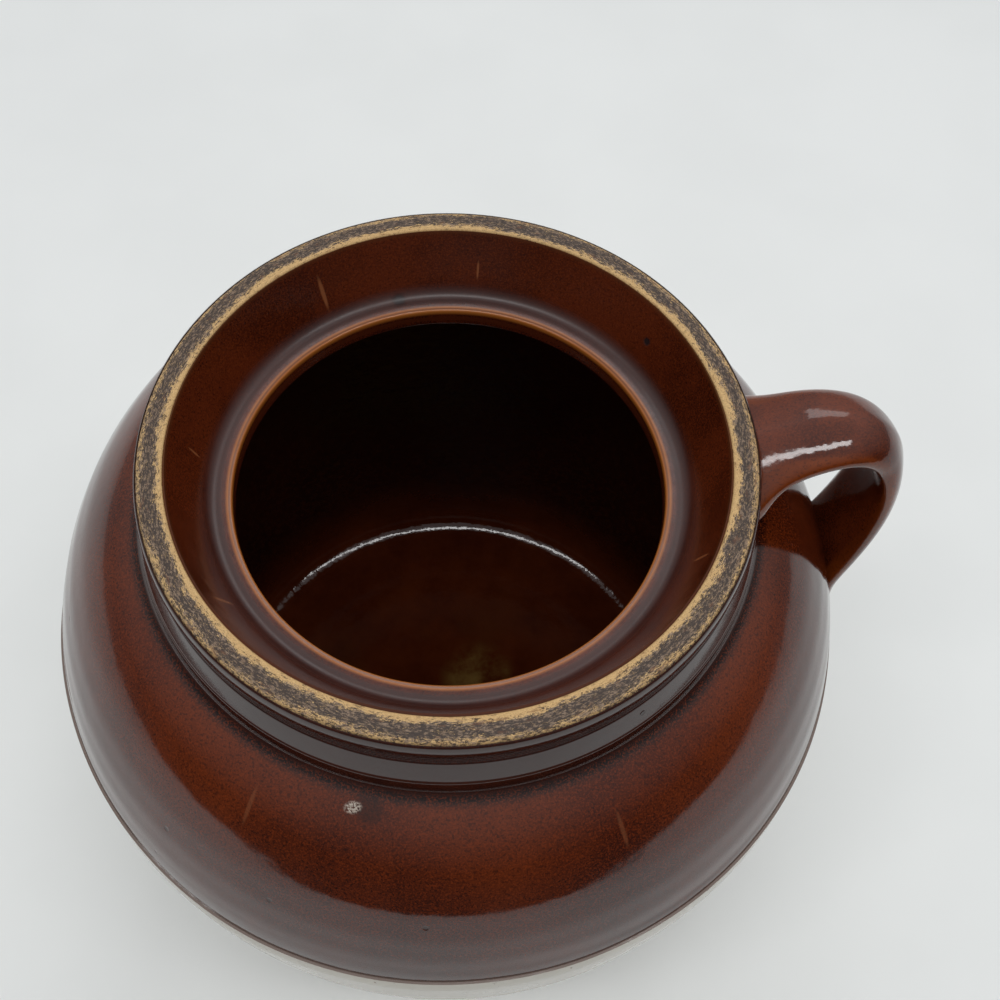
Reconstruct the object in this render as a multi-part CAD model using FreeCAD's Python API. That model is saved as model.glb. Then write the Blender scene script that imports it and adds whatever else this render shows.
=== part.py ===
import FreeCAD, Part
import math
import os

# Stoneware bean pot with a strap handle, in millimetres
# The origin is on the pot's axis, on the surface it stands on, with the handle towards +X

# Glazed outside of the pot
height = 176.0
rim_r = 66.5
belly_r = 98.6
shoulder_rise = 57.6
shoulder_across = 6.0
shoulder_up = 1.4
lower_drop = 215.0
lower_across = 1.62
lower_up = 1.62
foot_top_z = 4.0

# Walls, glaze and the bare foot
wall = 6.4
floor_top_z = 7.8
floor_corner_r = 9.0
glaze = 0.5
glaze_line_up = 6.5
foot_round = 1.6
foot_taper = 0.4

# Neck, from the shoulder up to the rim
neck_h = 21.0
neck_foot_out = 4.1
flare_out = 1.3
flare_h = 1.4
step_out = 2.4
step_up = 5.3
step_drop = 0.3
band_top_out = 0.4
groove_count = 4
groove_pitch = 0.9
groove_depth = 0.45
bead_out = 0.7
bead_h = 5.2
rim_edge_drop = 0.7

# Lid seat and throat inside the rim
land_w = 6.4
seat_depth = 15.2
throat_r = 48.2
ledge_w = 4.4
throat_land_h = 4.2
lip_round = 0.8

# Strap handle, whose middle line runs from the neck over an arch and down into the belly
strap_root_in = 3.6
strap_root_drop = 14.3
strap_rise_out = 8.1
strap_rise_up = 4.6
strap_arch_out = 16.5
strap_arch_up = 13.1
strap_leg_out = 1.5
strap_leg_up = 33.3
strap_foot_in = 7.1
strap_foot_up = 1.0
strap_turn = 3.5
strap_w_top = 27.0
strap_w_waist = 17.5
strap_w_low = 25.0
strap_waist_power = 1.4
strap_crown = 5.2
strap_back = 2.4
strap_side_power = 0.7
strap_back_power = 0.6
lute_grow = 2.6
lute_edge = 0.15
lute_reach = 0.12
lute_top_from = 0.06
lute_low_from = 0.96

# Numbers of places and sections that the curves are laid through
wall_places = 9
strap_outline_places = 16
strap_sections = 13
lute_sections = 4

# Places that follow from the sizes above
neck_foot_z = height - neck_h
neck_foot_r = rim_r + neck_foot_out
neck_t = math.acos((neck_foot_r / belly_r) ** (shoulder_across / 2))
belly_z = neck_foot_z - shoulder_rise * math.sin(neck_t) ** (2 / shoulder_up)
glaze_line_z = belly_z + glaze_line_up
step_r = rim_r + step_out
step_z = neck_foot_z + step_up
band_top_r = rim_r + band_top_out
lip_z = height - seat_depth
lip_crest_r = throat_r + lip_round
seat_r = lip_crest_r + ledge_w
throat_low_z = lip_z - lip_round - throat_land_h
land_inner_r = rim_r - land_w
strap_line = [
    (rim_r - strap_root_in, height - strap_root_drop),
    (rim_r + strap_rise_out, height + strap_rise_up),
    (belly_r + strap_arch_out, height + strap_arch_up),
    (belly_r + strap_leg_out, belly_z + strap_leg_up),
    (belly_r - strap_foot_in, belly_z + strap_foot_up),
]


def point(place):
    return FreeCAD.Vector(place[0], 0, place[1])


def path(places):
    """Straight edges from each place (radius, height) to the next."""
    return [Part.LineSegment(point(a), point(b)).toShape() for a, b in zip(places, places[1:])]


def arc(start, middle, end):
    return Part.Arc(point(start), point(middle), point(end)).toShape()


def turn(centre, radius, start, end):
    """Arc about a centre between two angles in degrees, counted from straight outwards."""
    places = []
    for degrees in (start, (start + end) / 2, end):
        angle = math.radians(degrees)
        places.append((centre[0] + radius * math.cos(angle), centre[1] + radius * math.sin(angle)))
    return arc(places[0], places[1], places[2])


def spline(places):
    curve = Part.BSplineCurve()
    curve.interpolate([point(place) for place in places])
    return curve.toShape()


def turned(edges):
    """Solid of a closed outline turned about the pot's axis."""
    face = Part.Face(Part.Wire(Part.__sortEdges__(edges)))
    solid = face.revolve(FreeCAD.Vector(0, 0, 0), FreeCAD.Vector(0, 0, 1), 360)
    return solid.Solids[0]


# Wall of the pot: one superellipse above the widest circle and another below it
def outside(upper, t):
    if upper:
        across, up, rise = shoulder_across, shoulder_up, shoulder_rise
    else:
        across, up, rise = lower_across, lower_up, -lower_drop
    return (belly_r * math.cos(t) ** (2 / across), belly_z + rise * math.sin(t) ** (2 / up))


def wall_place(upper, t, inset):
    """Place on the wall, moved inwards by inset at right angles to the outside."""
    r, z = outside(upper, t)
    if t == 0:
        return (r - inset, z)
    step = 1e-6
    r_next, z_next = outside(upper, t + step)
    side = inset if upper else -inset
    length = math.hypot(r_next - r, z_next - z)
    return (r - side * (z_next - z) / length, z + side * (r_next - r) / length)


def wall_at(upper, inset, z_wanted):
    """Parameter at which the inset wall has the wanted height."""
    near, far = 0.0, math.radians(80)
    for _ in range(60):
        middle = (near + far) / 2
        z = wall_place(upper, middle, inset)[1]
        passed = z > z_wanted if upper else z < z_wanted
        if passed:
            far = middle
        else:
            near = middle
    return (near + far) / 2


def wall_curve(upper, inset, t_from, t_to):
    steps = [t_from + (t_to - t_from) * k / (wall_places - 1) for k in range(wall_places)]
    return spline([wall_place(upper, t, inset) for t in steps])


def wall_stretch(inset, low_z, high_z):
    """Edges of the inset wall between two heights, which are measured on the outside."""
    edges = []
    if low_z < belly_z:
        top = wall_at(False, 0, high_z) if high_z < belly_z else 0
        edges.append(wall_curve(False, inset, top, wall_at(False, 0, low_z)))
    if high_z > belly_z:
        bottom = wall_at(True, 0, low_z) if low_z > belly_z else 0
        edges.append(wall_curve(True, inset, bottom, wall_at(True, 0, high_z)))
    return edges


def clay_wall(inset, low_z, high_z):
    """Edges of the inset wall, in two stretches where the line between the glazes crosses it."""
    if low_z < glaze_line_z < high_z:
        return wall_stretch(inset, low_z, glaze_line_z) + wall_stretch(inset, glaze_line_z, high_z)
    return wall_stretch(inset, low_z, high_z)


def across_wall(z, inset_a, inset_b):
    """Edge straight through the wall from one inset to another, at a height on the outside."""
    upper = z > belly_z
    t = wall_at(upper, 0, z)
    return path([wall_place(upper, t, inset_a), wall_place(upper, t, inset_b)])


foot_t = wall_at(False, 0, foot_top_z)


# Outside of the neck: flare, lower band, step, upper band, fine grooves and a bead under the rim
def neck_outside(inset):
    start = wall_place(True, neck_t, inset)
    grooves_z = height - rim_edge_drop - bead_h - groove_count * groove_pitch
    places = [start]
    places.append((neck_foot_r - flare_out - inset, neck_foot_z + flare_h))
    places.append((step_r - inset, step_z - step_drop))
    places.append((step_r - step_drop - inset, step_z))
    places.append((band_top_r - inset, grooves_z))
    for k in range(groove_count):
        groove_z = grooves_z + (k + 0.5) * groove_pitch
        places.append((band_top_r - groove_depth - inset, groove_z))
        places.append((band_top_r - inset, groove_z + groove_pitch / 2))
    bead_z = height - rim_edge_drop - bead_h
    bead_middle = (rim_r + bead_out - inset, bead_z + bead_h / 2)
    rim_edge = (rim_r - inset, height - rim_edge_drop)
    return path(places) + [arc(places[-1], bead_middle, rim_edge)]


# Inside of the neck: lid seat, lip and throat; inset counts into the clay
def seat_inside(inset):
    lip_turn_r = throat_r + lip_round
    seat_top = (land_inner_r + inset, height)
    ledge_outer = (seat_r + inset, lip_z - inset)
    under_lip = (lip_turn_r, throat_low_z - lip_round + inset)
    edges = path([seat_top, ledge_outer, (lip_crest_r, lip_z - inset)])
    edges.append(turn((lip_turn_r, lip_z - lip_round), lip_round - inset, 90, 180))
    edges += path([(throat_r + inset, lip_z - lip_round), (throat_r + inset, throat_low_z)])
    edges.append(turn((lip_turn_r, throat_low_z), lip_round - inset, 180, 270))
    edges += path([under_lip, wall_place(True, neck_t, wall - inset)])
    return edges


# Inside of the bowl, with a rounded corner between wall and floor
def bowl_inside(inset):
    skin = wall - inset
    floor_z = floor_top_z - inset
    t = wall_at(False, skin, floor_z + floor_corner_r)
    low = wall_place(False, t, skin)
    step = 0.01
    above = wall_place(False, t - step, skin)
    lean = math.atan2(above[0] - low[0], above[1] - low[1])
    t = wall_at(False, skin, floor_z + floor_corner_r * (1 - math.sin(lean)))
    low = wall_place(False, t, skin)
    centre = (low[0] - floor_corner_r * math.cos(lean), low[1] + floor_corner_r * math.sin(lean))
    halfway = -(math.pi / 2 + lean) / 2
    bend = (centre[0] + floor_corner_r * math.cos(halfway), centre[1] + floor_corner_r * math.sin(halfway))
    floor_edge = (centre[0], floor_z)
    return [wall_curve(False, skin, 0, t), arc(low, bend, floor_edge)] + path([floor_edge, (0, floor_z)])


# Clay of the pot in the three sections that are thrown and luted together
def lower_bowl():
    foot_top = wall_place(False, foot_t, glaze)
    foot_side_r = foot_top[0] - foot_taper
    base_r = foot_side_r - foot_round
    outline = clay_wall(glaze, foot_top_z, belly_z)
    outline += path([foot_top, (foot_side_r, foot_round)])
    outline.append(turn((base_r, foot_round), foot_round, 0, -90))
    outline += path([(base_r, 0), (0, 0), (0, floor_top_z - glaze)])
    outline += bowl_inside(glaze)
    outline += path([wall_place(False, 0, wall - glaze), wall_place(False, 0, glaze)])
    return turned(outline)


def shoulder_wall():
    outline = clay_wall(glaze, belly_z, neck_foot_z) + [wall_curve(True, wall - glaze, 0, neck_t)]
    outline += path([wall_place(True, 0, glaze), wall_place(True, 0, wall - glaze)])
    outline += path([wall_place(True, neck_t, glaze), wall_place(True, neck_t, wall - glaze)])
    return turned(outline)


def neck_collar():
    outline = neck_outside(glaze) + seat_inside(glaze)
    rim_edge = (rim_r - glaze, height - rim_edge_drop)
    outline += path([rim_edge, (rim_r - glaze, height), (land_inner_r + glaze, height)])
    outline += path([wall_place(True, neck_t, glaze), wall_place(True, neck_t, wall - glaze)])
    return turned(outline)


# Coats of glaze on the pot
def brown_outer_coat():
    outline = neck_outside(0) + neck_outside(glaze)
    outline += wall_stretch(0, glaze_line_z, neck_foot_z) + wall_stretch(glaze, glaze_line_z, neck_foot_z)
    rim_z = height - rim_edge_drop
    outline += path([(rim_r, rim_z), (rim_r - glaze, rim_z)])
    return turned(outline + across_wall(glaze_line_z, 0, glaze))


def cream_lower_coat():
    outline = wall_stretch(0, foot_top_z, glaze_line_z) + wall_stretch(glaze, foot_top_z, glaze_line_z)
    return turned(outline + across_wall(glaze_line_z, 0, glaze) + across_wall(foot_top_z, 0, glaze))


def seat_coat():
    outline = seat_inside(0) + seat_inside(glaze)
    outline += path([(land_inner_r, height), (land_inner_r + glaze, height)])
    outline += path([wall_place(True, neck_t, wall), wall_place(True, neck_t, wall - glaze)])
    return turned(outline)


def inner_coat():
    outline = [wall_curve(True, wall, 0, neck_t), wall_curve(True, wall - glaze, 0, neck_t)]
    outline += path([wall_place(True, neck_t, wall), wall_place(True, neck_t, wall - glaze)])
    outline += bowl_inside(0) + bowl_inside(glaze)
    outline += path([(0, floor_top_z), (0, floor_top_z - glaze)])
    return turned(outline)


# Handle: sections across a smooth middle line, crowned outside and nearly flat inside
def strap_place(s):
    n = len(strap_line) - 1
    shares = [math.comb(n, k) * (1 - s) ** (n - k) * s ** k for k in range(n + 1)]
    r = sum(share * place[0] for share, place in zip(shares, strap_line))
    z = sum(share * place[1] for share, place in zip(shares, strap_line))
    return FreeCAD.Vector(r, 0, z)


def strap_section(s, grow):
    step = 1e-4
    along = strap_place(s + step) - strap_place(s - step)
    along.normalize()
    across = FreeCAD.Vector(0, 1, 0)
    outward = across.cross(along) * -1
    end_w = strap_w_top if s < 0.5 else strap_w_low
    width = strap_w_waist + (end_w - strap_w_waist) * abs(2 * s - 1) ** strap_waist_power
    places = []
    for k in range(strap_outline_places):
        angle = 2 * math.pi * k / strap_outline_places
        side = math.cos(angle)
        out = math.sin(angle)
        if out < 0:
            side = math.copysign(abs(side) ** strap_side_power, side)
            out = -abs(out) ** strap_back_power
        deep = strap_crown if out > 0 else strap_back
        shift = across * (side * (width / 2 + grow)) + outward * (out * (deep + grow))
        places.append(strap_place(s) + shift)
    curve = Part.BSplineCurve()
    curve.interpolate(Points=places, PeriodicFlag=True)
    return Part.Wire(curve.toShape())


def strap_solid(s_from, s_to, grow_from, grow_to, count):
    wires = []
    for k in range(count):
        share = k / (count - 1)
        grow = grow_from + (grow_to - grow_from) * share
        wires.append(strap_section(s_from + (s_to - s_from) * share, grow))
    solid = Part.makeLoft(wires, True, False)
    solid.rotate(FreeCAD.Vector(0, 0, 0), FreeCAD.Vector(0, 0, 1), strap_turn)
    return solid


def filled(inset):
    """The pot's outside, inset by the given depth, as one solid without its hollow."""
    outline = neck_outside(inset) + clay_wall(inset, foot_top_z, neck_foot_z)
    foot = wall_place(False, foot_t, inset)
    outline += path([(rim_r - inset, height - rim_edge_drop), (rim_r - inset, height), (0, height)])
    outline += path([(0, height), (0, foot[1]), foot])
    return turned(outline)


clay_filled = filled(glaze)
strap_clay = strap_solid(0, 1, -glaze, -glaze, strap_sections)
strap_glazed = strap_solid(0, 1, 0, 0, strap_sections)
lute_top_to = lute_top_from + lute_reach
lute_low_to = lute_low_from - lute_reach
lute_top = strap_solid(lute_top_from, lute_top_to, lute_grow, lute_edge, lute_sections)
lute_low = strap_solid(lute_low_from, lute_low_to, lute_grow, lute_edge, lute_sections)
lutes = lute_top.fuse(lute_low)

parts = {
    "lower_bowl": lower_bowl(),
    "shoulder_wall": shoulder_wall(),
    "neck_collar": neck_collar(),
    "seat_glaze": seat_coat(),
    "inner_glaze": inner_coat(),
    "outer_brown_glaze": brown_outer_coat().cut(strap_glazed).cut(lutes),
    "lower_cream_glaze": cream_lower_coat().cut(strap_glazed).cut(lutes),
    "handle_strap": strap_clay.cut(clay_filled),
    "handle_glaze": strap_glazed.cut(strap_clay).cut(clay_filled),
    "upper_handle_lute": lute_top.cut(strap_glazed).cut(clay_filled),
    "lower_handle_lute": lute_low.cut(strap_glazed).cut(clay_filled),
}

os.makedirs("parts", exist_ok=True)
for name, shape in parts.items():
    solids = sorted(shape.Solids, key=lambda solid: solid.Volume)
    print(name, "solids", len(solids), "volumes", [round(solid.Volume) for solid in solids], shape.isValid())
    shape.exportStep("parts/" + name + ".step")
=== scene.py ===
import bpy
import math
from mathutils import Matrix, Vector


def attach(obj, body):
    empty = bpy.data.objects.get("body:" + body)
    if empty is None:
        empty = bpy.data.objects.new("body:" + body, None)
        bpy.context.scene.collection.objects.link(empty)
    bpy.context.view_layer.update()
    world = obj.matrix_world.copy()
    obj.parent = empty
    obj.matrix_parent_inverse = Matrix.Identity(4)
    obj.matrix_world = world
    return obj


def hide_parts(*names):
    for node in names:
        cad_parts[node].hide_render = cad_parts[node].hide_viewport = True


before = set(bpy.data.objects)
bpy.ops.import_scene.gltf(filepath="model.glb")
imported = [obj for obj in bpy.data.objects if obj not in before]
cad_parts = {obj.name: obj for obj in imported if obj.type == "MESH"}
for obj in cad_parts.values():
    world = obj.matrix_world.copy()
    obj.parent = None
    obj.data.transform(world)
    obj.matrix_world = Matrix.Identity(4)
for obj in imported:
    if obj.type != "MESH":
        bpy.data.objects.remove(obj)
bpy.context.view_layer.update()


# Clay of the bowl and shoulder: buff stoneware, thrown on the wheel and luted together.
# Only the bare base and the wiped foot show it.
def tone(red, green, blue):
    """Colour from the 0 to 255 values that the eye sees."""
    values = []
    for value in (red, green, blue):
        share = value / 255
        values.append(share / 12.92 if share < 0.04045 else ((share + 0.055) / 1.055) ** 2.4)
    return (values[0], values[1], values[2], 1)


class Finish:
    """A material with short ways to lay its nodes."""

    def __init__(self, name):
        self.material = bpy.data.materials.new(name)
        self.material.use_nodes = True
        self.tree = self.material.node_tree
        self.shader = self.tree.nodes["Principled BSDF"]
        self.place = self.node("TexCoord").outputs["Object"]

    def node(self, kind, values=(), **settings):
        made = self.tree.nodes.new("ShaderNode" + kind)
        for key, value in settings.items():
            setattr(made, key, value)
        for slot, value in values:
            if isinstance(value, bpy.types.NodeSocket):
                self.tree.links.new(value, made.inputs[slot])
            else:
                made.inputs[slot].default_value = value
        return made

    def noise(self, scale, detail=3.0, rough=0.5, at=None):
        values = (
            ("Vector", at or self.place), ("Scale", scale),
            ("Detail", detail), ("Roughness", rough),
        )
        return self.node("TexNoise", values).outputs["Fac"]

    def math(self, operation, first, second=0.0, third=0.0):
        values = ((0, first), (1, second), (2, third))
        return self.node("Math", values, operation=operation).outputs[0]

    def span(self, value, low, high, to_low=0.0, to_high=1.0):
        values = (
            ("Value", value), ("From Min", low), ("From Max", high),
            ("To Min", to_low), ("To Max", to_high),
        )
        return self.node("MapRange", values, interpolation_type="SMOOTHSTEP").outputs["Result"]

    def blend(self, share, first, second):
        made = self.node("Mix", ((0, share), (6, first), (7, second)), data_type="RGBA")
        return made.outputs[2]

    def over(self, colour, cover, strength, new):
        """The colour with a new one laid over it, where it covers, at a strength from 0 to 1."""
        return self.blend(self.math("MULTIPLY", cover, strength), colour, new)

    def done(self, colour, rough, bump=None, depth=0.0, strength=0.0):
        self.tree.links.new(colour, self.shader.inputs["Base Color"])
        self.tree.links.new(rough, self.shader.inputs["Roughness"])
        if bump:
            values = (("Height", bump), ("Distance", depth), ("Strength", strength))
            made = self.node("Bump", values)
            self.tree.links.new(made.outputs["Normal"], self.shader.inputs["Normal"])
        return self.material


def bare_clay_finish():
    clay = Finish("bare_clay")
    grain = clay.noise(900, detail=6, rough=0.7)
    cloud = clay.noise(35, detail=4)
    colour = clay.blend(clay.span(cloud, 0.35, 0.7), tone(196, 170, 128), tone(168, 136, 94))
    colour = clay.blend(clay.span(grain, 0.6, 0.68), colour, tone(92, 66, 44))
    rough = clay.span(grain, 0.3, 0.7, 0.72, 0.92)
    return clay.done(colour, rough, grain, depth=0.00025, strength=0.6)


bare_clay = bare_clay_finish()
for clay_node in ("lower_bowl", "shoulder_wall"):
    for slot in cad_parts[clay_node].material_slots:
        slot.material = bare_clay


# Neck collar with its bare, worn rim.
# Thrown in one with the seat for the lid; the rim's land was wiped clean of glaze before firing.
# Iron specks and kiln dirt have settled on the outer part of the land.
def softened(places, cut, steps):
    """The same line with each inner corner rounded over a short distance either side of it."""
    longest_share = 0.45
    line = [places[0]]
    for before, corner, after in zip(places, places[1:], places[2:]):
        corner = Vector(corner)
        to_before = Vector(before) - corner
        to_after = Vector(after) - corner
        start = corner + to_before.normalized() * min(cut, to_before.length * longest_share)
        end = corner + to_after.normalized() * min(cut, to_after.length * longest_share)
        for k in range(steps + 1):
            t = k / steps
            place = start * (1 - t) ** 2 + corner * 2 * t * (1 - t) + end * t ** 2
            line.append((place.x, place.y))
    line.append(places[-1])
    return line


def turned(name, places, turns=240):
    """A closed skin spun about the pot's axis from its outline of (radius, height) in mm."""
    same_place = 0.000001
    crease = math.radians(50)
    line = [(r / 1000, z / 1000) for r, z in places]
    line.append(line[0])
    bpy.ops.object.select_all(action="DESELECT")
    bpy.ops.mesh.primitive_plane_add(size=0.001, location=(line[0][0], 0, line[0][1]))
    piece = bpy.context.object
    piece.name = name
    bpy.ops.object.transform_apply(location=True, rotation=True, scale=True)
    bpy.ops.object.mode_set(mode="EDIT")
    bpy.ops.mesh.select_all(action="SELECT")
    bpy.ops.mesh.merge(type="CENTER")
    for here, there in zip(line, line[1:]):
        bpy.ops.mesh.extrude_region_move(
            TRANSFORM_OT_translate={"value": (there[0] - here[0], 0, there[1] - here[1])}
        )
    bpy.ops.mesh.select_all(action="SELECT")
    bpy.ops.mesh.remove_doubles(threshold=same_place)
    bpy.ops.mesh.spin(steps=turns, angle=math.tau, center=(0, 0, 0), axis=(0, 0, 1))
    bpy.ops.mesh.select_all(action="SELECT")
    bpy.ops.mesh.remove_doubles(threshold=same_place)
    bpy.ops.mesh.normals_make_consistent(inside=False)
    bpy.ops.object.mode_set(mode="OBJECT")
    bpy.ops.object.shade_smooth_by_angle(angle=crease)
    return piece


def level_place(finish):
    """The place on the piece with its height left out."""
    split = finish.node("SeparateXYZ", ((0, finish.place),))
    return finish.node("CombineXYZ", ((0, split.outputs[0]), (1, split.outputs[1]))).outputs[0]


def radius_of(finish):
    """Distance from the pot's axis, in metres."""
    level = level_place(finish)
    return finish.node("VectorMath", ((0, level),), operation="LENGTH").outputs["Value"]


def rim_finish():
    rim = Finish("bare_rim")
    rim_r, squeeze = 0.0665, 3.2
    dirt_starts, dirt_full = 0.0606, 0.0630
    fringe_starts, fringe_full = 0.0642, 0.0658
    wander = 0.0044
    radius = radius_of(rim)
    along = rim.node("VectorMath", ((0, level_place(rim)),), operation="NORMALIZE")
    ring = rim.node("VectorMath", ((0, along.outputs[0]), ("Scale", rim_r)), operation="SCALE")
    outward = rim.node("CombineXYZ", ((2, rim.math("MULTIPLY", radius, squeeze)),))
    both = ((0, ring.outputs[0]), (1, outward.outputs[0]))
    streaked = rim.node("VectorMath", both, operation="ADD").outputs[0]
    streaks = rim.noise(560, detail=6, rough=0.75, at=streaked)
    specks = rim.noise(2600, detail=3, rough=0.7, at=streaked)
    patches = rim.noise(70, detail=4, rough=0.6, at=streaked)
    wavy_radius = rim.math("ADD", radius, rim.math("MULTIPLY_ADD", patches, wander, -wander / 2))
    cover = rim.span(wavy_radius, dirt_starts, dirt_full)
    fringe = rim.span(wavy_radius, fringe_starts, fringe_full)
    cover = rim.math("SUBTRACT", cover, rim.math("MULTIPLY", fringe, 0.42))
    grains = rim.math("MULTIPLY_ADD", streaks, 0.55, rim.math("MULTIPLY", specks, 0.45))
    level = rim.math("ADD", grains, rim.math("MULTIPLY_ADD", cover, 0.24, -0.15))
    dirt = rim.span(level, 0.495, 0.520)
    flecks = rim.noise(900, detail=6, rough=0.8, at=streaked)
    soot = rim.math("ADD", flecks, rim.math("MULTIPLY", cover, 0.13))
    black = rim.span(soot, 0.585, 0.615)
    tan = rim.blend(rim.span(specks, 0.35, 0.65), tone(208, 174, 122), tone(176, 140, 92))
    grey = rim.blend(rim.span(streaks, 0.4, 0.6), tone(84, 66, 54), tone(128, 108, 92))
    colour = rim.over(tan, dirt, 0.92, grey)
    colour = rim.over(colour, black, 0.9, tone(40, 28, 24))
    rust = rim.span(rim.noise(260, detail=4, rough=0.6, at=streaked), 0.60, 0.68)
    colour = rim.over(colour, rust, 0.45, tone(104, 60, 30))
    rough = rim.span(dirt, 0, 1, 0.8, 0.62)
    return rim.done(colour, rough, grains, depth=0.0003, strength=0.5)


rim_land = [
    (60.5, 175.2), (60.75, 175.95), (62.6, 176.0), (64.9, 175.85), (66.0, 175.45), (66.3, 174.6),
]
collar_top = softened(rim_land, cut=0.5, steps=4)
collar_hidden = [
    (66.3, 170.0), (65.9, 166.6), (67.9, 160.0), (68.3, 156.8), (69.8, 154.8), (67.9, 149.6),
    (49.6, 155.3), (48.9, 156.0), (48.9, 159.9), (49.3, 160.2), (54.2, 160.2),
]
neck_collar = turned("neck_collar_clay", collar_top + collar_hidden, turns=288)
neck_collar.data.materials.append(rim_finish())
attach(neck_collar, "root")
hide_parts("neck_collar")


# Brown glaze over the neck and the shoulder, down to the line between the two colours.
# Iron glaze, dipped; it runs thin and orange on the edges of the neck and thicker on the belly.
# Its surface keeps a few pinholes, bumps and faint scratches.
belly_r, belly_z = 98.6, 103.06
shoulder_rise, shoulder_r_power, shoulder_z_power = 57.6, 6, 1.4
bowl_drop, bowl_power = 215, 1.62
colour_line_z, neck_foot_r = 109.56, 70.6
coat_depth = 0.55


def wall_place(upper, t, inset=0.0):
    """Place on the pot's wall in millimetres, moved in by inset; t is 0 at the widest circle."""
    def outside(angle):
        if upper:
            r_power, z_power, rise = shoulder_r_power, shoulder_z_power, shoulder_rise
        else:
            r_power, z_power, rise = bowl_power, bowl_power, -bowl_drop
        r = belly_r * math.cos(angle) ** (2 / r_power)
        return r, belly_z + rise * math.sin(angle) ** (2 / z_power)

    r, z = outside(t)
    if t == 0:
        return (r - inset, z)
    r_next, z_next = outside(t + 1e-6)
    side = inset if upper else -inset
    length = math.hypot(r_next - r, z_next - z)
    return (r - side * (z_next - z) / length, z + side * (r_next - r) / length)


def wall_line(upper, t_from, t_to, count, inset=0.0):
    steps = [t_from + (t_to - t_from) * k / (count - 1) for k in range(count)]
    return [wall_place(upper, t, inset) for t in steps]


def line_wave(x, y):
    """How far the line between the colours stands above its mean height, in metres."""
    azimuth = math.atan2(y, x)
    waves = ((1.25, 3, math.radians(264)), (0.35, 7, 1), (0.2, 13, 2))
    return sum(high * math.sin(count * azimuth + start) for high, count, start in waves) / 1000


def follow_line(piece, low, high):
    """Moves the vertices near the line with its wave, fading out towards both heights."""
    line_z = colour_line_z / 1000
    veil_reach = 0.0016
    # near_line holds how near each vertex is to the line between the colours; the glazes paint a
    # grey veil with it, a painted reflection.
    near_line = piece.data.attributes.new("near_line", "FLOAT", "POINT")
    for index, vertex in enumerate(piece.data.vertices):
        z = vertex.co.z
        near_line.data[index].value = max(0.0, 1 - abs(z - line_z) / veil_reach)
        if low < z < high:
            fade = (z - low) / (line_z - low) if z < line_z else (high - z) / (high - line_z)
            vertex.co.z += line_wave(vertex.co.x, vertex.co.y) * fade


def height_of(finish):
    """Height above the table, in metres."""
    return finish.node("SeparateXYZ", ((0, finish.place),)).outputs[2]


def band(finish, value, low, low_full, high_full, high):
    """One within a band and none outside it, fading at both edges."""
    rising, falling = finish.span(value, low, low_full), finish.span(value, high, high_full)
    return finish.math("MULTIPLY", rising, falling)


def spot(finish, centre, size, turn=0.0, stretch=(1, 1, 1)):
    """One at a place on the piece, fading to none at the size given, in millimetres."""
    centre = [value / 1000 for value in centre]
    moved = finish.node("VectorMath", ((0, finish.place), (1, centre)), operation="SUBTRACT")
    placed = (("Vector", moved.outputs[0]), ("Angle", -turn))
    turned_back = finish.node("VectorRotate", placed, rotation_type="Z_AXIS")
    stretched = ((0, turned_back.outputs[0]), (1, stretch))
    scaled = finish.node("VectorMath", stretched, operation="MULTIPLY").outputs[0]
    away = finish.node("VectorMath", ((0, scaled),), operation="LENGTH").outputs["Value"]
    return finish.span(away, size / 1000, size / 2500)


def strongest(finish, marks):
    """The strongest of several marks at each place."""
    most = marks[0]
    for mark in marks[1:]:
        most = finish.math("MAXIMUM", most, mark)
    return most


pinholes = [
    ((-61.6, -68.4, 129.5), 0.9), ((-66.3, -69.9, 116.3), 0.8), ((-38.6, -83.8, 129.2), 0.9),
    ((-5.5, -90.7, 132.4), 0.9), ((-88.3, -20.0, 133.0), 0.9), ((4.3, -98.1, 110.6), 0.8),
    ((16.5, -66.9, 163.0), 0.9), ((38.5, -56.0, 163.5), 0.9), ((-20.0, 92.0, 131.0), 0.8),
    ((40.0, 76.0, 136.0), 0.8), ((90.0, 20.0, 125.0), 0.8), ((22.0, -93.0, 122.0), 0.6),
]


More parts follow.
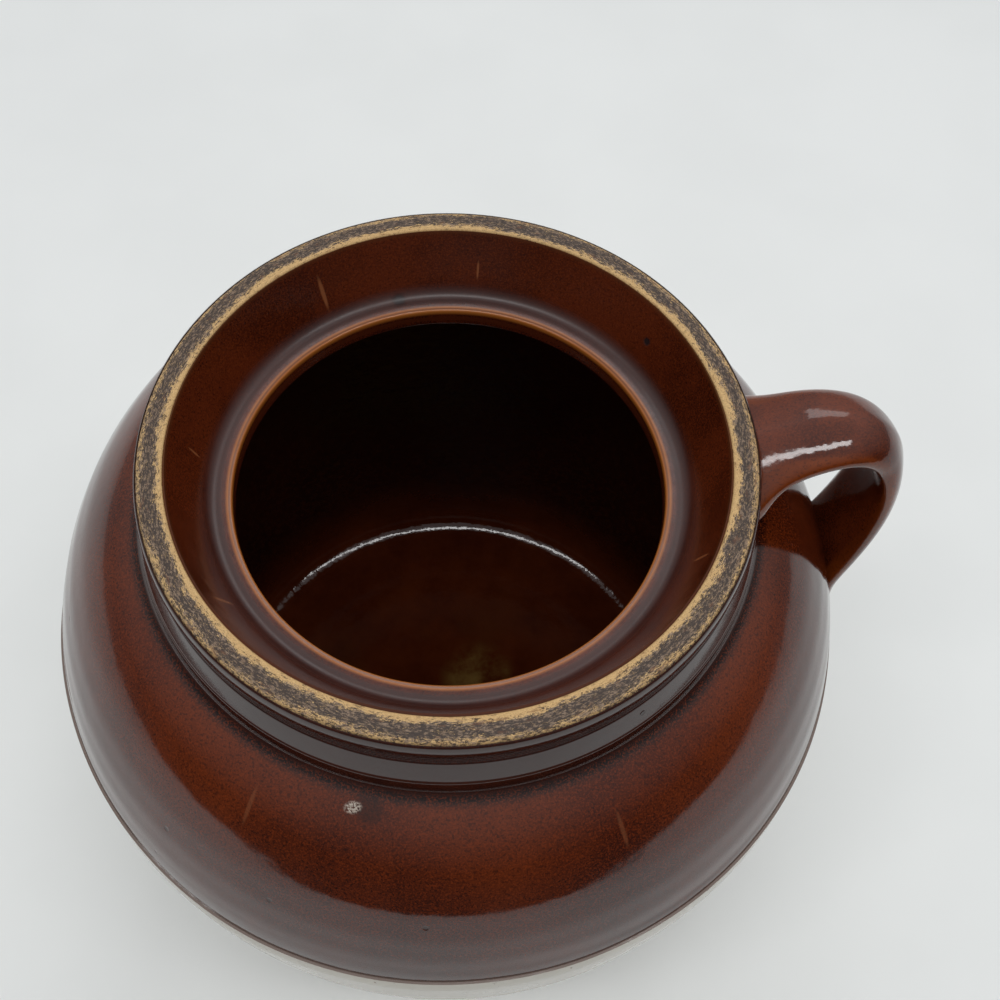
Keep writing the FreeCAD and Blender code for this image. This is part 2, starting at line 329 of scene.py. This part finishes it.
def brown_finish():
    glaze = Finish("brown_glaze")
    height = height_of(glaze)
    flow = glaze.node("Mapping", (("Vector", glaze.place), ("Scale", (1, 1, 0.35))))
    mottle = glaze.noise(2300, detail=3, rough=0.75)
    cloud = glaze.noise(28, detail=5, rough=0.6, at=flow.outputs[0])
    runs = glaze.noise(85, detail=4, rough=0.6, at=flow.outputs[0])
    belly = glaze.blend(glaze.span(cloud, 0.35, 0.65), tone(44, 14, 8), tone(66, 24, 10))
    shoulder = glaze.blend(glaze.span(cloud, 0.3, 0.7), tone(66, 22, 7), tone(98, 40, 12))
    toward_neck = glaze.span(glaze.math("MULTIPLY_ADD", runs, 0.012, height), 0.134, 0.164)
    colour = glaze.blend(toward_neck, belly, shoulder)
    # Painted reflection: a grey veil of the table laid over the lowest band of the brown, just
    # above the line between the colours.
    painted_veil_band = glaze.span(glaze.math("MULTIPLY_ADD", runs, 0.004, height), 0.117, 0.1125)
    colour = glaze.over(colour, painted_veil_band, 0.75, tone(40, 26, 25))
    neck = glaze.span(height, 0.1546, 0.1562)
    colour = glaze.blend(neck, colour, tone(40, 16, 11))
    near_line = glaze.node("Attribute", attribute_name="near_line").outputs["Fac"]
    foot_line = band(glaze, height, 0.1538, 0.1550, 0.1556, 0.1568)
    colour = glaze.blend(foot_line, colour, tone(16, 6, 6))
    step_line = band(glaze, height, 0.1592, 0.1600, 0.1604, 0.1612)
    colour = glaze.over(colour, step_line, 0.8, tone(84, 44, 26))
    bead_line = glaze.span(height, 0.1742, 0.1752)
    colour = glaze.blend(bead_line, colour, tone(52, 27, 17))
    speckle = glaze.span(mottle, 0.46, 0.62)
    colour = glaze.over(colour, speckle, 0.5, tone(126, 52, 18))
    dark = glaze.span(glaze.noise(1800, detail=2, rough=0.5), 0.54, 0.64)
    colour = glaze.over(colour, dark, 0.5, tone(28, 9, 5))
    neck_skin = glaze.blend(runs, tone(34, 16, 14), tone(58, 28, 20))
    colour = glaze.over(colour, glaze.span(height, 0.1552, 0.1560), 0.8, neck_skin)
    pits = strongest(glaze, [spot(glaze, centre, size) for centre, size in pinholes])
    colour = glaze.over(colour, pits, 0.8, tone(30, 12, 10))
    blotch = spot(glaze, (-16.5, -71.5, 153.0), 4.2)
    colour = glaze.over(colour, blotch, 0.6, tone(34, 14, 10))
    chip = spot(glaze, (-19.8, -71.2, 153.2), 1.7, 0.3, (0.7, 1, 1.3))
    chip = glaze.math("MULTIPLY", chip, glaze.span(mottle, 0.46, 0.54))
    colour = glaze.blend(chip, colour, tone(196, 184, 170))
    left_scuff = spot(glaze, (-41.2, -69.0, 147.9), 6.0, -2.1, (1, 9, 1))
    right_scuff = spot(glaze, (35.1, -74.5, 145.9), 6.0, -1.1, (1, 9, 1))
    scuffs = strongest(glaze, [left_scuff, right_scuff])
    colour = glaze.over(colour, scuffs, 0.28, tone(150, 92, 60))
    # Painted reflection: along the line between the colours the brown's edge is painted a grey
    # cream, the table's grey veil, which also paints light over the shade under the edge.
    colour = glaze.blend(glaze.span(near_line, 0.35, 0.9), colour, tone(120, 104, 96))
    rough = glaze.span(runs, 0.2, 0.8, 0.06, 0.14)
    waves = glaze.math("ADD", glaze.noise(160, detail=2), glaze.math("MULTIPLY", mottle, 0.06))
    skin = glaze.math("SUBTRACT", waves, pits)
    glaze.shader.inputs["IOR"].default_value = 1.52
    return glaze.done(colour, rough, skin, depth=0.00012, strength=0.5)


line_t = math.asin(((colour_line_z - belly_z) / shoulder_rise) ** (shoulder_z_power / 2))
neck_t = math.acos((neck_foot_r / belly_r) ** (shoulder_r_power / 2))
shoulder_outer = wall_line(True, line_t, neck_t, 64)
ripple, edge_sink, edge_fade = 0.035, 0.02, 4
rippled = []
for r, z in shoulder_outer:
    fade = max(0.0, 1 - (z - colour_line_z) / edge_fade)
    rippled.append((r + ripple * math.sin(z * 0.8) * (1 - fade) - edge_sink * fade, z))
neck_r, groove_r, groove_z, groove_pitch = 66.95, 66.45, 166.95, 0.9
neck_line = [shoulder_outer[-1], (69.3, 156.4), (68.9, 160.0), (68.55, 160.35), (neck_r, 166.5)]
for groove in range(4):
    neck_line.append((groove_r, groove_z + groove_pitch * groove))
    neck_line.append((neck_r, groove_z + groove_pitch * (groove + 0.5)))
bead_z, bead_height, bead_out, bead_steps = 170.1, 4.9, 0.35, 8
bead = []
for k in range(1, bead_steps + 1):
    t = k / bead_steps
    bead.append((neck_r + bead_out * (math.sin(math.pi * t) - t), bead_z + bead_height * t))
neck_outer = softened(neck_line + bead[:1], cut=0.3, steps=4)[1:] + bead[1:]
brown_hidden = [
    (66.3, 175.2), (66.1, 174.2), (66.2, 170.0), (65.8, 166.6), (67.8, 160.0), (68.2, 156.6),
]
brown_hidden += wall_line(True, neck_t, line_t, 24, coat_depth)
coat_outline = [(98.30, 109.50)] + rippled + neck_outer + brown_hidden
brown_coat = turned("brown_glaze_coat", coat_outline, turns=288)
follow_line(brown_coat, 0.1040, 0.1150)
brown_coat.data.materials.append(brown_finish())
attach(brown_coat, "root")
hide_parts("outer_brown_glaze")


# Cream glaze over the lower half, under the edge of the brown.
# Feldspar glaze, dipped first and stopped short of the foot.
# A few iron specks show through it.
def cream_finish():
    glaze = Finish("cream_glaze")
    height = height_of(glaze)
    cloud = glaze.noise(40, detail=4, rough=0.6)
    colour = glaze.blend(glaze.span(cloud, 0.3, 0.7), tone(202, 195, 181), tone(195, 187, 172))
    near_line = glaze.node("Attribute", attribute_name="near_line").outputs["Fac"]
    # Painted reflection: the cream next to the line between the colours is greyed, the table's
    # grey veil.
    colour = glaze.over(colour, near_line, 0.6, tone(150, 134, 122))
    foot_edge = glaze.span(height, 0.0062, 0.0040)
    colour = glaze.over(colour, foot_edge, 0.7, tone(168, 140, 102))
    specks = glaze.span(glaze.noise(620, detail=2, rough=0.4), 0.71, 0.75)
    colour = glaze.over(colour, specks, 0.7, tone(96, 66, 44))
    rough = glaze.span(cloud, 0.3, 0.7, 0.12, 0.2)
    glaze.shader.inputs["IOR"].default_value = 1.5
    waves = glaze.noise(170, detail=3)
    return glaze.done(colour, rough, waves, depth=0.00015, strength=0.4)


bare_foot_z = 4.0
foot_t = math.asin(((belly_z - bare_foot_z) / bowl_drop) ** (bowl_power / 2))
past_belly_t = 0.02
cream_outer = wall_line(False, foot_t, 0, 60) + wall_line(True, past_belly_t, line_t, 6)
cream_hidden = wall_line(True, line_t, past_belly_t, 4, coat_depth)
cream_hidden += wall_line(False, 0, foot_t, 40, coat_depth)
foot_lip = [(79.75, 3.55)]
cream_coat = turned("cream_glaze_coat", cream_outer + cream_hidden + foot_lip)
follow_line(cream_coat, 0.1000, 0.1180)
cream_coat.data.materials.append(cream_finish())
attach(cream_coat, "root")
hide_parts("lower_cream_glaze")


# Brown glaze in the lid's seat, over its ledge and lip and down the throat.
# It has drained off the lip, where the clay's orange shows, and pooled in the ledge's corner.
# A lid has scratched the sloping wall in five places.
lid_scratches = [
    (122, 56.4, 167.8, 4.8), (176, 56.2, 167.0, 2.4), (215, 56.6, 168.2, 4.4),
    (335, 57.6, 170.4, 3.2), (83, 56.2, 167.0, 2.6),
]


def seat_finish():
    glaze = Finish("seat_glaze")
    height = height_of(glaze)
    radius = radius_of(glaze)
    cloud = glaze.noise(40, detail=5, rough=0.6)
    mottle = glaze.noise(2300, detail=3, rough=0.75)
    brown = glaze.blend(glaze.span(cloud, 0.35, 0.65), tone(56, 19, 8), tone(78, 29, 11))
    colour = glaze.over(brown, glaze.span(mottle, 0.46, 0.62), 0.4, tone(112, 48, 18))
    dark = glaze.span(glaze.noise(1800, detail=2), 0.55, 0.65)
    colour = glaze.over(colour, dark, 0.4, tone(28, 9, 5))
    low, outside_lip = glaze.span(height, 0.1645, 0.1612), glaze.span(radius, 0.0500, 0.0512)
    pooled = glaze.math("MULTIPLY", low, outside_lip)
    colour = glaze.over(colour, pooled, 0.7, tone(42, 20, 18))
    inside_ledge, above = glaze.span(radius, 0.0500, 0.0492), glaze.span(height, 0.1592, 0.1602)
    lip = glaze.math("MULTIPLY", inside_ledge, above)
    colour = glaze.blend(lip, colour, tone(152, 88, 36))
    lip_ring = band(glaze, radius, 0.0486, 0.0488, 0.04905, 0.04925)
    colour = glaze.over(colour, lip_ring, 0.6, tone(78, 38, 16))
    under = band(glaze, height, 0.1570, 0.1576, 0.1585, 0.1590)
    colour = glaze.over(colour, under, 0.6, tone(84, 36, 16))
    top = glaze.span(height, 0.1748, 0.1758)
    colour = glaze.over(colour, top, 0.7, tone(80, 42, 22))
    scratches = []
    for polar, middle_r, middle_z, size in lid_scratches:
        turn = math.radians(polar)
        centre = (middle_r * math.cos(turn), middle_r * math.sin(turn), middle_z)
        scratches.append(spot(glaze, centre, size, turn, (1, 7.0, 0.8)))
    colour = glaze.over(colour, strongest(glaze, scratches), 0.55, tone(150, 92, 56))
    ledge_pit = spot(glaze, (-12.3, 51.3, 160.9), 2.1)
    wall_pit = spot(glaze, (45.9, 33.3, 168.3), 1.3)
    pits = strongest(glaze, [ledge_pit, wall_pit])
    colour = glaze.blend(pits, colour, tone(38, 26, 26))
    rough = glaze.math("MULTIPLY_ADD", pooled, 0.2, glaze.span(cloud, 0.3, 0.7, 0.12, 0.22))
    glaze.shader.inputs["IOR"].default_value = 1.5
    waves = glaze.math("SUBTRACT", glaze.noise(150, detail=3), pits)
    return glaze.done(colour, rough, waves, depth=0.00015, strength=0.45)


glaze_inset, glaze_back_inset = 6.4, 5.8
lip_edge = (49.4, 160.9)
seat_line = softened([(60.15, 175.95), (53.4, 160.9), lip_edge], cut=3.1, steps=14)[:-1]
lip_and_throat = [
    lip_edge, (48.35, 160.75), (48.2, 159.6), (48.2, 155.8), (49.0, 155.0), (58.6, 152.1),
]
seat_line += softened(lip_and_throat, cut=0.6, steps=6)
seat_hidden = [
    wall_place(True, neck_t, glaze_inset), wall_place(True, neck_t, glaze_back_inset),
    (49.5, 155.6), (48.8, 156.0), (48.8, 159.9), (49.4, 160.2), (53.9, 160.2), (60.6, 175.6),
]
seat_coat = turned("seat_glaze_coat", seat_line + seat_hidden)
seat_coat.data.materials.append(seat_finish())
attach(seat_coat, "root")
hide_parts("seat_glaze")


# Dark brown glaze inside the pot, over wall, rounded corner and floor; the wall is painted darker
# still, as painted shade.
# Poured in, swirled and drained; it has pooled in the corner and left an olive stain on the floor.
def inside_finish():
    glaze = Finish("inside_glaze")
    height = height_of(glaze)
    cloud = glaze.noise(30, detail=5, rough=0.65)
    mottle = glaze.noise(600, detail=4, rough=0.7)
    # Painted shade: the wall is painted a darker copy of the floor's brown, for the shade deep
    # inside the pot.
    painted_shade_wall_tone = glaze.blend(glaze.span(cloud, 0.35, 0.65), tone(24, 8, 6), tone(36, 12, 8))
    floor_tone = glaze.blend(glaze.span(cloud, 0.3, 0.7), tone(58, 19, 6), tone(82, 34, 11))
    colour = glaze.blend(glaze.span(height, 0.030, 0.011), painted_shade_wall_tone, floor_tone)
    colour = glaze.over(colour, glaze.span(mottle, 0.4, 0.7), 0.3, tone(74, 32, 12))
    ragged = glaze.span(glaze.noise(110, detail=4, rough=0.6), 0.35, 0.72)
    olive_stain = glaze.math("MULTIPLY", spot(glaze, (9.0, 15.0, 7.8), 14.0), ragged)
    colour = glaze.blend(olive_stain, colour, tone(116, 88, 44))
    patches = glaze.span(glaze.noise(22, detail=3), 0.5, 0.7)
    green_cast = glaze.math("MULTIPLY", spot(glaze, (-6.0, 2.0, 7.8), 60.0), patches)
    colour = glaze.over(colour, green_cast, 0.4, tone(58, 36, 12))
    rough = glaze.span(cloud, 0.3, 0.7, 0.07, 0.15)
    glaze.shader.inputs["IOR"].default_value = 1.5
    waves = glaze.noise(190, detail=3, rough=0.6)
    return glaze.done(colour, rough, waves, depth=0.0003, strength=0.6)


def inside_line(inset, floor_z, corner_r, count):
    """The inner wall from the widest circle down, the rounded corner and the floor to the axis."""
    t, t_step = 0.0, 0.0005
    corner_steps = 16
    low = wall_place(False, t, inset)
    lean = 0.0
    while low[1] > floor_z + corner_r * (1 - math.sin(lean)):
        t += t_step
        before = low
        low = wall_place(False, t, inset)
        lean = math.atan2(before[0] - low[0], before[1] - low[1])
    line = wall_line(False, 0, t, count, inset)
    centre = (low[0] - corner_r * math.cos(lean), low[1] + corner_r * math.sin(lean))
    for k in range(1, corner_steps + 1):
        angle = -lean - (math.pi / 2 - lean) * k / corner_steps
        r, z = centre[0] + corner_r * math.cos(angle), centre[1] + corner_r * math.sin(angle)
        line.append((r, z))
    return line


floor_z, floor_back_z = 7.8, 7.2
corner_r, corner_back_r = 9.0, 9.5
inner_upper = wall_line(True, neck_t, past_belly_t, 26, glaze_inset)
inner_lower = inside_line(glaze_inset, floor_z, corner_r, 30)
floor_edge = inner_lower[-1]
pool_edge_r, pool_edge_w, pool_edge_rise, floor_steps = 58, 2.2, 0.30, 25
floor_line = []
for k in range(1, floor_steps + 1):
    r = floor_edge[0] * (1 - k / floor_steps)
    pool_edge = pool_edge_rise * math.exp(-((r - pool_edge_r) / pool_edge_w) ** 2)
    finger_ripple = 0.05 * math.sin(r * 0.7) * (r / 70)
    floor_line.append((r, floor_edge[1] + pool_edge + finger_ripple))
inner_hidden = [(0, floor_back_z), (60, floor_back_z)]
inner_hidden += inside_line(glaze_back_inset, floor_back_z, corner_back_r, 12)[::-1]
inner_hidden += wall_line(True, past_belly_t, neck_t, 10, glaze_back_inset)
inner_coat = turned("inner_glaze_coat", inner_upper + inner_lower + floor_line + inner_hidden)
inner_coat.data.materials.append(inside_finish())
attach(inner_coat, "root")
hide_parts("inner_glaze")


# Strap handle in its brown glaze, with the slip that joins it to the neck and the belly.
# Pulled from one piece of clay: crowned with a soft ridge outside, nearly flat inside.
# The glaze is thin and orange along both edges.
def strap_place(s):
    """Place on the strap's middle line, in metres; s runs from 0 at the neck to 1 at the belly."""
    line = ((62.9, 161.7), (74.6, 180.6), (115.1, 189.1), (100.1, 136.4), (91.5, 104.06))
    shares = [math.comb(4, k) * (1 - s) ** (4 - k) * s ** k for k in range(5)]
    r = sum(share * place[0] for share, place in zip(shares, line))
    z = sum(share * place[1] for share, place in zip(shares, line))
    return Vector((r, 0, z)) / 1000


def strap_section(s):
    """One ring of the strap: a circle, sized, flattened inside and stood across the line."""
    middle_w = 17.5
    end_w, taper = (27.0, 1.4) if s < 0.5 else (25.0, 0.8)
    width = middle_w + (end_w - middle_w) * abs(2 * s - 1) ** taper
    neck_slip = 3.4 * math.exp(-((s - 0.03) / 0.075) ** 2)
    belly_slip = 2.4 * math.exp(-((s - 0.97) / 0.045) ** 2)
    flare = neck_slip + belly_slip
    ridge = 0.30 * (1 - s) ** 0.5
    outside_depth, inside_depth = 5.2, 2.4
    near = 1e-4
    along = (strap_place(s + near) - strap_place(s - near)).normalized()
    outward = along.cross(Vector((0, 1, 0)))
    bpy.ops.mesh.primitive_circle_add(vertices=32, radius=1)
    ring = bpy.context.object
    for vertex in ring.data.vertices:
        side, out = vertex.co.x, vertex.co.y
        if out >= 0:
            out = (1 - ridge) * out + ridge * (1 - abs(side))
            deep = outside_depth
        else:
            side = math.copysign(abs(side) ** 0.7, side)
            out = -abs(out) ** 0.6
            deep = inside_depth
        wobble = 0.25 * math.sin(9 * s + 2 * side) + 0.15 * math.sin(23 * s + 3 * side)
        across = side * (width / 2 + flare) / 1000
        lift = out * (deep + flare + wobble) / 1000
        vertex.co = strap_place(s) + Vector((0, across, 0)) + outward * lift
    return ring


def handle_finish():
    glaze = Finish("handle_glaze")
    thin = glaze.node("Attribute", attribute_name="thin_glaze").outputs["Fac"]
    cloud = glaze.noise(60, detail=5, rough=0.6)
    mottle = glaze.noise(2300, detail=3, rough=0.75)
    body = glaze.blend(glaze.span(cloud, 0.35, 0.65), tone(62, 22, 10), tone(90, 36, 14))
    edge = glaze.blend(glaze.span(cloud, 0.3, 0.7), tone(120, 54, 14), tone(88, 36, 11))
    ragged = glaze.math("MULTIPLY_ADD", cloud, 0.5, thin)
    colour = glaze.blend(glaze.span(ragged, 0.75, 1.15), body, edge)
    colour = glaze.over(colour, glaze.span(mottle, 0.38, 0.68), 0.34, tone(128, 56, 20))
    dark = glaze.span(glaze.noise(1800, detail=2), 0.56, 0.66)
    colour = glaze.over(colour, dark, 0.4, tone(34, 12, 7))
    rough = glaze.span(cloud, 0.3, 0.7, 0.06, 0.13)
    glaze.shader.inputs["IOR"].default_value = 1.52
    waves = glaze.noise(140, detail=3, rough=0.6)
    return glaze.done(colour, rough, waves, depth=0.0003, strength=0.5)


bpy.ops.object.select_all(action="DESELECT")
section_count = 46
first_s, last_s = 0.015, 0.97
s_step = (last_s - first_s) / (section_count - 1)
rings = [strap_section(first_s + s_step * k) for k in range(section_count)]
for ring in rings:
    ring.select_set(True)
bpy.context.view_layer.objects.active = rings[0]
bpy.ops.object.join()
handle_coat = bpy.context.object
handle_coat.name = "handle_glaze_coat"
bpy.ops.object.mode_set(mode="EDIT")
bpy.ops.mesh.select_all(action="SELECT")
bpy.ops.mesh.bridge_edge_loops()
bpy.ops.mesh.select_all(action="DESELECT")
bpy.ops.mesh.select_non_manifold()
bpy.ops.mesh.edge_face_add()
bpy.ops.mesh.select_all(action="SELECT")
bpy.ops.mesh.normals_make_consistent(inside=False)
bpy.ops.object.mode_set(mode="OBJECT")
bare_half_w = 0.0095
thin_glaze = handle_coat.data.attributes.new("thin_glaze", "FLOAT", "POINT")
for index, vertex in enumerate(handle_coat.data.vertices):
    thin_glaze.data[index].value = min(1.0, (abs(vertex.co.y) / bare_half_w) ** 3)
handle_azimuth = math.radians(3.5)
handle_coat.data.transform(Matrix.Rotation(handle_azimuth, 4, "Z"))
rounding = handle_coat.modifiers.new("rounding", "SUBSURF")
rounding.levels = 2
rounding.render_levels = 2
bpy.ops.object.modifier_apply(modifier="rounding")
bpy.ops.object.shade_smooth()
handle_coat.data.materials.append(handle_finish())
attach(handle_coat, "root")
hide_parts("handle_glaze", "handle_strap", "upper_handle_lute", "lower_handle_lute")


# White table that the pot stands on, smooth and matt.
# It reaches far behind the pot and ends not far in front of it, where the room is darker.
def table_finish():
    table = Finish("table")
    paper = table.noise(12, detail=3)
    colour = table.blend(table.span(paper, 0.3, 0.7), tone(232, 234, 233), tone(229, 231, 230))
    return table.done(colour, table.span(paper, 0.3, 0.7, 0.7, 0.8))


bpy.ops.object.select_all(action="DESELECT")
bpy.ops.mesh.primitive_plane_add(size=1, location=(0, 0.72, 0))
table_top = bpy.context.object
table_top.name = "table_top"
table_top.scale = (3.2, 2.3, 1)
bpy.ops.object.transform_apply(location=True, rotation=True, scale=True)
table_top.data.materials.append(table_finish())


# Light of a pale room: bright from above and behind, darker low down in front.
# Past the table the camera sees a plain pale wall.
# A long strip lamp hangs overhead, and a softbox stands high at the back.
def room_light():
    world = bpy.data.worlds.new("room")
    bpy.context.scene.world = world
    world.use_nodes = True
    nodes, links = world.node_tree.nodes, world.node_tree.links
    room = nodes["Background"]
    direction = nodes.new("ShaderNodeTexCoord").outputs["Generated"]
    split = nodes.new("ShaderNodeSeparateXYZ")
    links.new(direction, split.inputs[0])

    def ramp(value, low, high, to_low, to_high):
        made = nodes.new("ShaderNodeMapRange")
        ends = (("From Min", low), ("From Max", high), ("To Min", to_low), ("To Max", to_high))
        for slot, number in ends:
            made.inputs[slot].default_value = number
        links.new(value, made.inputs["Value"])
        return made.outputs["Result"]

    from_above = ramp(split.outputs[2], 0.1, 0.75, 0.05, 0.54)
    from_behind = ramp(split.outputs[1], -0.4, 0.5, 0.0, 0.27)
    level = nodes.new("ShaderNodeMath")
    links.new(from_above, level.inputs[0])
    links.new(from_behind, level.inputs[1])
    links.new(level.outputs[0], room.inputs["Strength"])
    room.inputs["Color"].default_value = (0.97, 0.985, 1, 1)
    seen = nodes.new("ShaderNodeBackground")
    seen.inputs["Color"].default_value = tone(226, 229, 229)
    seen.inputs["Strength"].default_value = 1
    choice = nodes.new("ShaderNodeMixShader")
    links.new(nodes.new("ShaderNodeLightPath").outputs["Is Camera Ray"], choice.inputs[0])
    links.new(room.outputs[0], choice.inputs[1])
    links.new(seen.outputs[0], choice.inputs[2])
    links.new(choice.outputs[0], nodes["World Output"].inputs["Surface"])


def lamp(name, place, size, size_y, power):
    """A rectangular lamp aimed at the pot's middle."""
    pot_middle = Vector((0, 0, 0.1))
    bpy.ops.object.light_add(type="AREA", location=place)
    made = bpy.context.object
    made.name = name
    made.data.shape = "RECTANGLE"
    made.data.size = size
    made.data.size_y = size_y
    made.data.energy = power
    aim = pot_middle - Vector(place)
    made.rotation_euler = aim.to_track_quat("-Z", "Y").to_euler()


room_light()
lamp("ceiling_strip", place=(0.0, -0.32, 1.30), size=1.5, size_y=0.14, power=6.8)
lamp("back_softbox", place=(0.25, 0.95, 1.25), size=0.9, size_y=0.6, power=3.4)


# Camera above and in front of the pot, at the photograph's angle.
# It is first aimed at the middle of the rim, and then turned so that the rim's middle
# falls on its place in the picture, left of and above the centre.
camera_data = bpy.data.cameras.new("camera")
camera_data.lens = 45.14
camera_data.sensor_width = 36
camera = bpy.data.objects.new("camera", camera_data)
bpy.context.scene.collection.objects.link(camera)
bpy.context.scene.camera = camera
elevation = math.radians(57.57)
downward = Vector((0, math.cos(elevation), -math.sin(elevation)))
toward_rim = downward.to_track_quat("-Z", "Y").to_matrix()
rim_x, rim_y, picture_middle, focal_pixels = 450.2, 445.0, 500, 1254
across, up = (rim_x - picture_middle) / focal_pixels, (picture_middle - rim_y) / focal_pixels
rim_ray = Vector((across, up, -1)).normalized()
off_centre = Vector((0, 0, -1)).rotation_difference(rim_ray).to_matrix()
roll = Matrix.Rotation(math.radians(-0.19), 3, "Z")
camera_place = (0, -0.1435, 0.4019)
turned_camera = (toward_rim @ roll @ off_centre.inverted()).to_4x4()
camera.matrix_world = Matrix.Translation(camera_place) @ turned_camera
bpy.context.scene.view_settings.view_transform = "Standard"
